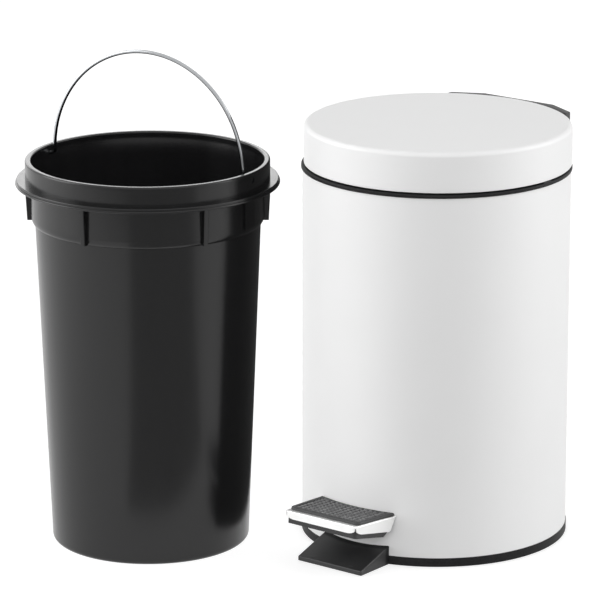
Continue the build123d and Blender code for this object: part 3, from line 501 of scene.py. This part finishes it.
share_x, share_y = np.meshgrid(np.linspace(-1, 1, tread_columns), np.linspace(0, 1, tread_rows))
tread_front = pedal_front + tread_front_inset
half_width = pedal_front_half - tread_side_inset + share_y * (pedal_back_half - pedal_front_half)
tread_depth = back_edge(share_x * half_width) - tread_front
from_side = (1 - np.abs(share_x)) * half_width
from_front = share_y * tread_depth
from_edge = np.minimum(np.minimum(from_side, from_front), (1 - share_y) * tread_depth)

# A square corner drawn in to a round one: both distances shrink by the longer over the diagonal
in_x = np.maximum(tread_corner - from_side, 0)
in_y = np.maximum(tread_corner - from_front, 0)
in_corner = (in_x > 0) & (in_y > 0)
diagonal = np.where(in_corner, np.hypot(in_x, in_y), 1)
draw_in = np.where(in_corner, np.maximum(in_x, in_y) / diagonal, 1)
tread_x = np.sign(share_x) * (half_width - from_side - (in_x - in_x * draw_in))
tread_y = tread_front + from_front + (in_y - in_y * draw_in)


def from_groove(along, pitch):
    """Distance in millimetres to the nearest of a set of grooves one pitch apart."""
    part = along / pitch
    return pitch * np.abs(part - np.round(part))


# Studs: two sets of grooves cross at right angles, and each flat top slopes down to them. The
# middle column lies on the pedal's middle, and the first row starts at the front border
groove = np.minimum(
    from_groove(tread_x + stud_across / 2, stud_across),
    from_groove(tread_y - tread_front - tread_border, stud_along),
)
studs = np.clip((groove - groove_half) / stud_slope, 0, 1)
in_field = np.clip((from_edge - tread_border) / field_slope, 0, 1)
rounding = np.maximum(tread_edge - from_edge, 0)
tread_z = tray_top + tread_height - in_field * field_depth * (1 - studs)
tread_z -= tread_edge - np.sqrt(tread_edge**2 - rounding**2)
points = on_lever(tread_x, tread_y, tread_z)
number = np.arange(points.size // 3).reshape(tread_rows, tread_columns)
round_edge = np.concatenate([number[0, :-1], number[:-1, -1], number[-1, :0:-1], number[:0:-1, 0]])
foot = on_lever(tread_x.ravel()[round_edge], tread_y.ravel()[round_edge], tray_top)
foot_number = points.size // 3 + np.arange(len(round_edge))
skirt = np.stack(
    [round_edge, np.roll(round_edge, -1), np.roll(foot_number, -1), foot_number], axis=-1
)
faces = grid_quads(tread_rows, tread_columns, closed=False).reshape(-1, 4).tolist()
faces += skirt.tolist() + [foot_number.tolist()]
points = np.vstack([points.reshape(-1, 3), foot])

# Soft PVC, moulded: black and half matt. The studs' tops are painted paler grey and smoother, a
# painted highlight, here more and there less
highlight_all_over = 0.12
tread_rubber, tree, shader, place = start_finish("moulded black PVC", "#1c1c1d", 0.5)
tops = add_node(tree, "Attribute", {"attribute_name": "stud_top"})
highlight_patches = add_node(tree, "TexNoise", {"Vector": place, "Scale": per_mm(5), "Detail": 5.0})
stud_highlight = add_node(
    tree,
    "Math",
    {
        "operation": "MULTIPLY_ADD",
        0: tops.outputs["Fac"],
        1: highlight_patches.outputs["Fac"],
        2: highlight_all_over,
    },
)
# Painted highlight: near black on the border and in the grooves, paler grey on the studs' tops
vary(tree, shader, stud_highlight.outputs[0], ("#0d0d0e", "#787879"), (0.58, 0.3))
pedal_pad = make_piece("pedal_pad", points, faces, tread_rubber, crease=50.0)
top_share = (in_field * studs).ravel()
marks = pedal_pad.data.attributes.new("stud_top", "FLOAT", "POINT")
marks.data.foreach_set("value", np.concatenate([top_share, np.zeros(len(foot))]))
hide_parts("pedal_tread")
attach(pedal_pad, "pedal")

# Lid
# One cap drawn from sheet steel with a small rounded edge, powder-coated like the wall. It
# sits a little back towards its hinge.

lid_radius = 83.4
lid_low, lid_top = 237.8, 262.8
lid_edge = 3.0
lid_hem = 0.2
lid_setback = 1.2
lid_rings = (0.0, 30.0, 60.0)
lid_steps, lid_edge_steps = 240, 14

lid_inner = lid_radius - steel_sheet
lid_bend = (lid_radius - lid_edge, lid_top - lid_edge)
lid_profile = np.vstack(
    [
        [(ring, lid_top) for ring in lid_rings],
        arc(lid_bend, lid_edge, 90, 0, lid_edge_steps),
        [(lid_radius, lid_low + lid_hem), (lid_radius - lid_hem, lid_low)],
        [(lid_inner + lid_hem, lid_low), (lid_inner, lid_low + lid_hem)],
        arc(lid_bend, lid_edge - steel_sheet, 0, 90, lid_edge_steps),
        [(ring, lid_top - steel_sheet) for ring in lid_rings[::-1]],
    ]
)
round_angles = np.radians(np.arange(lid_steps) * 360 / lid_steps)
points = turned(lid_profile[:, :1], lid_profile[:, 1:], round_angles, (0.0, lid_setback))
faces = grid_quads(*points.shape[:2], closed=True).reshape(-1, 4).tolist()
lid_cap = make_piece("lid_cap", points, faces, powder_coat)
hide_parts("lid_shell")
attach(lid_cap, "lid")

# Hinge bracket
# A black ABS moulding, grained like the base, that lies against the back of the lid and is
# riveted to it. Its two arms reach down to the hinge pin.

dress(black_plastic, "lid_bracket")

# Inner bucket
# One black polypropylene moulding: a tapered pail with a ledge, a flange that hangs on the
# rim ring, a collar above it, six short fins, and a pad below each of the bail's holes.

bucket_at = (-130.062, -124.290)
bucket_turn = 8.0
foot_radius, foot_edge = 61.8, 3.0
foot_disc, foot_disc_rise = 44.0, 1.0
inside_corner = 2.0
bucket_wall, bucket_floor = 1.6, 2.0
ledge_low, ledge_high = 204.5, 209.0
lower_radius, upper_radius = 69.9, 72.2
flange_low, flange_high = 229.0, 230.5
flange_radius, flange_edge = 81.8, 0.6
step_radius, step_high, step_edge = 81.0, 232.0, 0.5
collar_outer, collar_inner = 75.7, 72.0
collar_top, collar_edge = 244.1, 1.1
collar_foot_inside = 240.4
bail_z = 239.4
hole_radius, hole_cell = 1.7, 0.75
fin_foot, fin_foot_radius, fin_top_radius = 205.0, 74.8, 76.1
fin_half, fin_round = 1.5, 0.4
first_fin, fin_step = 30.0, 60.0
pad_half, pad_radius = 5.3, 73.4
bucket_steps = 240
clear_of_lines = 0.35
sliver = 0.02

# Wall slope: the foot's rounding is set on the wall's own lean
lean = np.degrees(np.arctan2(lower_radius - foot_radius, ledge_low))
hole_rows = bail_z + hole_cell * np.arange(-2, 3)
inner_foot = foot_radius - bucket_wall
outside = np.vstack(
    [
        [(0.0, foot_disc_rise), (foot_disc, foot_disc_rise), (foot_disc, 0.0)],
        arc((foot_radius - foot_edge, foot_edge), foot_edge, -90, -lean, 8),
    ]
)

# The ledge is a quarter of an ellipse, upright where it meets the band of wall above it
ledge_rows = ledge_high - (ledge_high - ledge_low) * np.sin(np.radians(np.linspace(90, 0, 9)))
fin_and_pad_rows = [fin_foot - sliver, fin_foot, ledge_high + sliver, flange_low]
band_height = np.sort(np.concatenate([ledge_rows, fin_and_pad_rows]))
down_ledge = np.clip((ledge_high - band_height) / (ledge_high - ledge_low), 0, 1)
band_radius = lower_radius + (upper_radius - lower_radius) * np.sqrt(1 - down_ledge**2)
band = np.stack([band_radius, band_height], axis=-1)
flange = np.vstack(
    [
        arc((flange_radius - flange_edge, flange_low + flange_edge), flange_edge, -90, 0, 4),
        arc((flange_radius - flange_edge, flange_high - flange_edge), flange_edge, 0, 90, 4),
        [(step_radius, flange_high)],
        arc((step_radius - step_edge, step_high - step_edge), step_edge, 0, 90, 4),
        [(collar_outer, step_high)],
    ]
)
collar_out = np.stack([np.full(len(hole_rows), collar_outer), hole_rows], axis=-1)
collar_rim = np.vstack(
    [
        arc((collar_outer - collar_edge, collar_top - collar_edge), collar_edge, 0, 90, 5),
        arc((collar_inner + collar_edge, collar_top - collar_edge), collar_edge, 90, 180, 5),
    ]
)
upper_inner = upper_radius - bucket_wall
inner_at = np.interp(
    hole_rows[::-1], [flange_high, collar_foot_inside], [upper_inner, collar_inner]
)
collar_in = np.stack([inner_at, hole_rows[::-1]], axis=-1)
inside = np.array(
    [
        (upper_inner, flange_high),
        (upper_inner, ledge_high),
        (lower_radius - bucket_wall, ledge_low),
        (inner_foot, bucket_floor + inside_corner),
        (inner_foot - inside_corner, bucket_floor),
        (foot_disc - bucket_wall, bucket_floor),
        (foot_disc - bucket_wall, bucket_floor + foot_disc_rise),
        (0.0, bucket_floor + foot_disc_rise),
    ]
)
bucket_profile = np.vstack([outside, band, flange, collar_out, collar_rim, collar_in, inside])
band_row = len(outside)
outer_hole_row = band_row + len(band) + len(flange)
inner_hole_row = outer_hole_row + len(collar_out) + len(collar_rim)

# Lines round the bucket: even ones, and close ones at each fin, pad and hole
fin_lines = np.array([-fin_half - sliver, -fin_half, -fin_half + fin_round])
fin_lines = np.degrees(np.concatenate([fin_lines, [0.0], -fin_lines[::-1]]) / fin_foot_radius)
pad_lines = np.array([-pad_half - sliver, -pad_half, pad_half, pad_half + sliver])
pad_lines = np.degrees(pad_lines / pad_radius)
hole_lines = np.degrees(hole_cell * np.arange(-2, 3) / collar_outer)
fin_angles = np.arange(first_fin, 360, fin_step)
hole_angles = np.array([0.0, 180.0])
close_angles = np.concatenate(
    [
        (fin_angles[:, None] + fin_lines).ravel(),
        (hole_angles[:, None] + pad_lines).ravel(),
        (hole_angles[:, None] + hole_lines).ravel(),
    ]
) % 360
even_angles = np.arange(bucket_steps) * 360 / bucket_steps
gap = np.abs((even_angles[:, None] - close_angles + 180) % 360 - 180).min(axis=1)
bucket_angles = np.sort(np.concatenate([even_angles[gap > clear_of_lines], close_angles]))

radius = np.repeat(bucket_profile[:, :1], len(bucket_angles), axis=1)
height = np.repeat(bucket_profile[:, 1:], len(bucket_angles), axis=1)
angle = np.repeat(bucket_angles[None, :], len(bucket_profile), axis=0)


def off_angle(at, centres):
    """Signed angle in degrees from each line to the nearest of the centres."""
    apart = (at[:, None] - centres + 180) % 360 - 180
    return apart[np.arange(len(at)), np.abs(apart).argmin(axis=1)]


# Fins stand out to their own radius, with their outer corners eased, and the pads are flat
off_fin = np.radians(np.abs(off_angle(bucket_angles, fin_angles))) * fin_foot_radius
fin_ease = np.where(off_fin > fin_half - fin_round / 2, fin_round, 0.0)
in_fin = band_height > fin_foot - sliver / 2
fin_reach = np.interp(
    band_height[in_fin], [fin_foot, flange_low], [fin_foot_radius, fin_top_radius]
)
fin_rows = band_row + np.flatnonzero(in_fin)
radius[fin_rows] = np.where(
    off_fin < fin_half + sliver / 2, fin_reach[:, None] - fin_ease, radius[fin_rows]
)
off_pad = np.radians(off_angle(bucket_angles, hole_angles))
pad_rows = band_row + np.flatnonzero(band_height > ledge_high + sliver / 2)
pad_reach = pad_radius / np.cos(off_pad)
on_pad = np.abs(off_pad) * pad_radius < pad_half + sliver / 2
radius[pad_rows] = np.where(on_pad, pad_reach, radius[pad_rows])

# Bail holes: a square of cells is left out of the collar's two faces, and its border points
# are moved out from the middle on to a circle
cells = grid_quads(len(bucket_profile), len(bucket_angles), closed=True)
keep = np.ones(cells.shape[:2], bool)
number = np.arange(radius.size).reshape(radius.shape)
square = np.array([(a, b) for a in range(-2, 3) for b in range(-2, 3) if max(abs(a), abs(b)) == 2])
square = square[np.argsort(np.arctan2(square[:, 1], square[:, 0]))]
hole_faces = ((outer_hole_row, 1, collar_outer), (inner_hole_row, -1, collar_inner))
bridges = []
for hole in hole_angles:
    middle = np.abs((bucket_angles - hole + 180) % 360 - 180).argmin()
    columns = (middle + square[:, 0]) % len(bucket_angles)
    left_out = (middle + np.arange(-2, 2)) % len(bucket_angles)
    loops = []
    for first_row, way, face_radius in hole_faces:
        rows = first_row + 2 + way * square[:, 1]
        onto_circle = hole_radius * square / np.linalg.norm(square, axis=1, keepdims=True)
        angle[rows, columns] = hole + np.degrees(np.arcsin(onto_circle[:, 0] / face_radius))
        height[rows, columns] = bail_z + onto_circle[:, 1]
        keep[first_row : first_row + 4, left_out] = False
        loops.append(number[rows, columns])
    bridges.append(
        np.stack([loops[0], np.roll(loops[0], -1), np.roll(loops[1], -1), loops[1]], axis=-1)
    )
points = turned(radius, height, np.radians(angle + bucket_turn), bucket_at)
faces = np.vstack([cells[keep], *bridges]).tolist()

# Polypropylene, moulded in a polished tool: black with a satin gloss, and faint upright flow
# marks where the plastic ran up the wall, some 12 mm apart
flow_stretch = 0.06
bucket_plastic, tree, shader, place = start_finish("satin black polypropylene", "#171718", 0.24)
up_wall = add_node(tree, "Mapping", {"Vector": place, "Scale": (1.0, 1.0, flow_stretch)})
flow = add_node(
    tree, "TexNoise", {"Vector": up_wall.outputs["Vector"], "Scale": per_mm(12), "Detail": 4.0}
)
vary(tree, shader, flow.outputs["Fac"], ("#131314", "#1b1b1c"), (0.18, 0.29))
skin = add_node(tree, "TexNoise", {"Vector": place, "Scale": per_mm(1.2), "Detail": 2.0})
raise_grain(tree, shader, skin.outputs["Fac"], 0.012)
pail = make_piece("pail", points, faces, bucket_plastic)
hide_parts("bucket")
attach(pail, "bucket")

# Bail
# Chrome-plated steel wire, bent to a half circle. Its ends are turned out into the collar's
# two holes, so it folds down either way.

wire_radius, wire_tip = 1.2, 0.72
bail_reach, bail_leg = 68.2, 3.3
bail_bend = 2.6
bail_end = 74.9
wire_sides = 20

half_path = np.vstack(
    [
        [(bail_end, 0.0), (bail_end - wire_radius, 0.0)],
        arc((bail_reach + bail_bend, bail_bend), bail_bend, 270, 180, 10),
        arc((0.0, bail_leg), bail_reach, 0, 90, 60),
    ]
)
wire_path = np.vstack([half_path, half_path[-2::-1] * (-1, 1)])
wire_width = np.full(len(wire_path), wire_radius)
wire_width[[0, -1]] = wire_tip


def wire_along(path, width, sides):
    """A round wire in an upright plane: at each point of the path a circle is drawn across
    it, on the path's own normal and the plane's normal."""
    run = np.gradient(path, axis=0)
    run /= np.linalg.norm(run, axis=1, keepdims=True)
    turn = np.radians(np.arange(sides) * 360 / sides)
    out = np.cos(turn) * width[:, None]
    level = path[:, :1] + out * -run[:, 1:]
    up = path[:, 1:] + out * run[:, :1]
    return level, up, np.sin(turn) * width[:, None]


level, up, aside = wire_along(wire_path, wire_width, wire_sides)
turn_cos, turn_sin = np.cos(np.radians(bucket_turn)), np.sin(np.radians(bucket_turn))
points = np.stack(
    [
        bucket_at[0] + level * turn_cos - aside * turn_sin,
        bucket_at[1] + level * turn_sin + aside * turn_cos,
        bail_z + up,
    ],
    axis=-1,
)
faces = grid_quads(*points.shape[:2], closed=True).reshape(-1, 4).tolist()
faces.append(list(range(wire_sides)))
faces.append(list(range(points.size // 3 - wire_sides, points.size // 3)))

# Chrome on drawn wire: a bright mirror with slight waviness from the drawing
chrome, tree, shader, place = start_finish("chrome-plated wire", "#b4b6b9", 0.1, 1.0)
draw = add_node(tree, "TexNoise", {"Vector": place, "Scale": per_mm(4), "Detail": 3.0})
vary(tree, shader, draw.outputs["Fac"], ("#a9abae", "#bfc1c3"), (0.06, 0.16))
bail_wire = make_piece("bail_wire", points, faces, chrome, crease=60.0)
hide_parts("bail")
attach(bail_wire, "bail")

# Floor, light and camera
# White paper on a studio table, under soft boxes at both sides and a fill in front. Can and
# bucket are each lit as if the other weren't there, and the camera looks from the front right.
# Lengths here are in metres.

camera_turn = np.radians(38.0)
camera_dip = np.radians(15.547)
camera_place = (1.53379, -2.10112, 0.87158)
camera_lens, camera_sensor = 258.31, 36.0
camera_right = np.array([np.cos(camera_turn), np.sin(camera_turn), 0.0])
camera_ahead = np.array([-np.sin(camera_turn), np.cos(camera_turn), 0.0])
studio_middle = np.array([-0.065, -0.062, 0.0])
table_front, table_reach = 0.87, 6.0
lamp_aim = 0.14


def in_studio(sideways, ahead, above):
    """A point to the side of, beyond and above the middle, as the camera sees it."""
    return studio_middle + camera_right * sideways + camera_ahead * ahead + np.array([0, 0, above])


table_corners = [
    in_studio(-table_reach, -table_front, 0.0),
    in_studio(table_reach, -table_front, 0.0),
    in_studio(table_reach, table_reach, 0.0),
    in_studio(-table_reach, table_reach, 0.0),
]
floor_mesh = bpy.data.meshes.new("studio_floor")
floor_mesh.from_pydata(table_corners, [], [(0, 1, 2, 3)])
studio_floor = bpy.data.objects.new("studio_floor", floor_mesh)
bpy.context.scene.collection.objects.link(studio_floor)


def seen_directly(tree, in_gloss):
    """1 where a ray comes from the camera or through glass, the given strength where it comes
    from a reflection, and otherwise 0."""
    path = add_node(tree, "LightPath", {})
    mirrored = add_node(
        tree, "Math", {"operation": "MULTIPLY", 0: path.outputs["Is Glossy Ray"], 1: in_gloss}
    )
    either = add_node(
        tree,
        "Math",
        {"operation": "MAXIMUM", 0: path.outputs["Is Camera Ray"], 1: mirrored.outputs[0]},
    )
    return add_node(
        tree,
        "Math",
        {"operation": "MAXIMUM", 0: either.outputs[0], 1: path.outputs["Is Transmission Ray"]},
    ).outputs[0]


# Matt white paper: it takes the object's soft shadow, and glows only as seen, not as a lamp. A
# reflection finds a little less of that glow
paper_glow, mirrored_glow = 0.78, 0.72
paper, tree, shader, place = start_finish("matt white paper", "#bcbcbc", 1.0)
shader.inputs["Specular IOR Level"].default_value = 0.0
shader.inputs["Emission Color"].default_value = linear("#ffffff")
seen = seen_directly(tree, mirrored_glow / paper_glow)
glow = add_node(tree, "MapRange", {"Value": seen, "To Min": 0.0, "To Max": paper_glow})
tree.links.new(glow.outputs["Result"], shader.inputs["Emission Strength"])
floor_mesh.materials.append(paper)

# White studio all round. Below the table's edge a reflection finds the dark room instead
ambient, dark_room = 0.34, 0.06
edge_blur = 0.06
world = bpy.data.worlds.new("white_studio")
world.use_nodes = True
bpy.context.scene.world = world
tree = world.node_tree
sky = tree.nodes["Background"]
sky.inputs["Color"].default_value = linear("#ffffff")
direction = add_node(tree, "SeparateXYZ", {0: add_node(tree, "TexCoord", {}).outputs["Generated"]})
above_table = add_node(
    tree,
    "MapRange",
    {
        "Value": direction.outputs["Z"],
        "From Min": -edge_blur,
        "From Max": edge_blur,
        "To Min": dark_room,
    },
)
level = add_node(
    tree,
    "MapRange",
    {"Value": seen_directly(tree, above_table.outputs["Result"]), "To Min": ambient, "To Max": 1.0},
)
tree.links.new(level.outputs["Result"], sky.inputs["Strength"])


def all_but(name, pieces):
    """A collection for light linking that stands for everything but these pieces."""
    rest = bpy.data.collections.new(name)
    for piece in pieces:
        rest.objects.link(piece)
    for entry in rest.collection_objects:
        entry.light_linking.link_state = "EXCLUDE"
    return rest


def soft_box(name, sideways, ahead, above, size, watts):
    """A large flat lamp placed to the side of, beyond and above the middle, and aimed at it."""
    lamp = bpy.data.lights.new(name, "AREA")
    lamp.shape = "RECTANGLE"
    lamp.size, lamp.size_y = size
    lamp.energy = watts
    box = bpy.data.objects.new(name, lamp)
    box.location = in_studio(sideways, ahead, above + lamp_aim)
    offset = in_studio(sideways, ahead, above) - studio_middle
    flat = np.hypot(offset[0], offset[1])
    box.rotation_euler = (np.arctan2(flat, offset[2]), 0.0, np.arctan2(offset[0], -offset[1]))
    box.visible_camera = False
    bpy.context.scene.collection.objects.link(box)
    return box


can_and_parts = all_but("can and its parts", (pail, bail_wire, studio_floor))
clear_of_bucket = all_but("clear of the bucket", (pail, bail_wire))
bucket_and_floor = bpy.data.collections.new("bucket and floor")
for piece in (pail, bail_wire, studio_floor):
    bucket_and_floor.objects.link(piece)
for piece in (pail, bail_wire):
    piece.visible_diffuse = False

for box in (
    soft_box("can_left_box", -1.7, 0.0, 0.5, (1.2, 1.8), 28.0),
    soft_box("can_right_box", 1.7, 0.0, 0.5, (1.2, 1.8), 21.3),
    soft_box("can_fill", 0.0, -2.2, 1.0, (2.0, 1.2), 24.0),
):
    box.light_linking.receiver_collection = can_and_parts
    box.light_linking.blocker_collection = clear_of_bucket
for box in (
    soft_box("bucket_left_box", -1.7, 0.0, 0.62, (1.2, 1.8), 18.0),
    soft_box("bucket_right_box", 1.7, 0.0, 0.62, (1.2, 1.8), 10.0),
    soft_box("bucket_back_box", -0.4, 1.7, 0.5, (1.6, 0.5), 4.0),
):
    box.light_linking.receiver_collection = bucket_and_floor


def reflected_card(name, corners, colour):
    """A card with four corners in the studio, which only reflections find, and only from behind
    its front face."""
    card_mesh = bpy.data.meshes.new(name)
    card_mesh.from_pydata([in_studio(*corner) for corner in corners], [], [(0, 1, 2, 3)])
    card_paint, tree, shader, place = start_finish("matt card", colour, 1.0)
    clear = add_node(tree, "BsdfTransparent", {})
    face = add_node(tree, "NewGeometry", {})
    one_sided = add_node(
        tree,
        "MixShader",
        {0: face.outputs["Backfacing"], 1: clear.outputs[0], 2: shader.outputs[0]},
    )
    tree.links.new(one_sided.outputs[0], tree.nodes["Material Output"].inputs["Surface"])
    card_mesh.materials.append(card_paint)
    card = bpy.data.objects.new(name, card_mesh)
    bpy.context.scene.collection.objects.link(card)
    for rays in ("camera", "diffuse", "shadow", "transmission", "volume_scatter"):
        setattr(card, "visible_" + rays, False)


# A dark card stands in the gap beside the bucket, so that the bucket mirrors it there and not
# the white can. A grey one lies in front, and darkens the bucket's front between its paler sides
card_lift = 0.002
reflected_card("dark_card", [(0, -0.06, 0), (0, 0.7, 0), (0, 0.7, 0.3), (0, -0.06, 0.3)], "#3a3a3a")
reflected_card(
    "grey_card",
    [
        (0.12, -0.15, card_lift),
        (0.9, -1.0, card_lift),
        (-0.36, -1.0, card_lift),
        (-0.14, -0.15, card_lift),
    ],
    "#b2b2b2",
)

camera = bpy.data.objects.new("camera", bpy.data.cameras.new("camera"))
camera.data.sensor_width = camera_sensor
camera.data.lens = camera_lens
camera.location = camera_place
camera.rotation_euler = (np.pi / 2 - camera_dip, 0.0, camera_turn)
bpy.context.scene.collection.objects.link(camera)
bpy.context.scene.camera = camera
bpy.context.scene.view_settings.view_transform = "Standard"
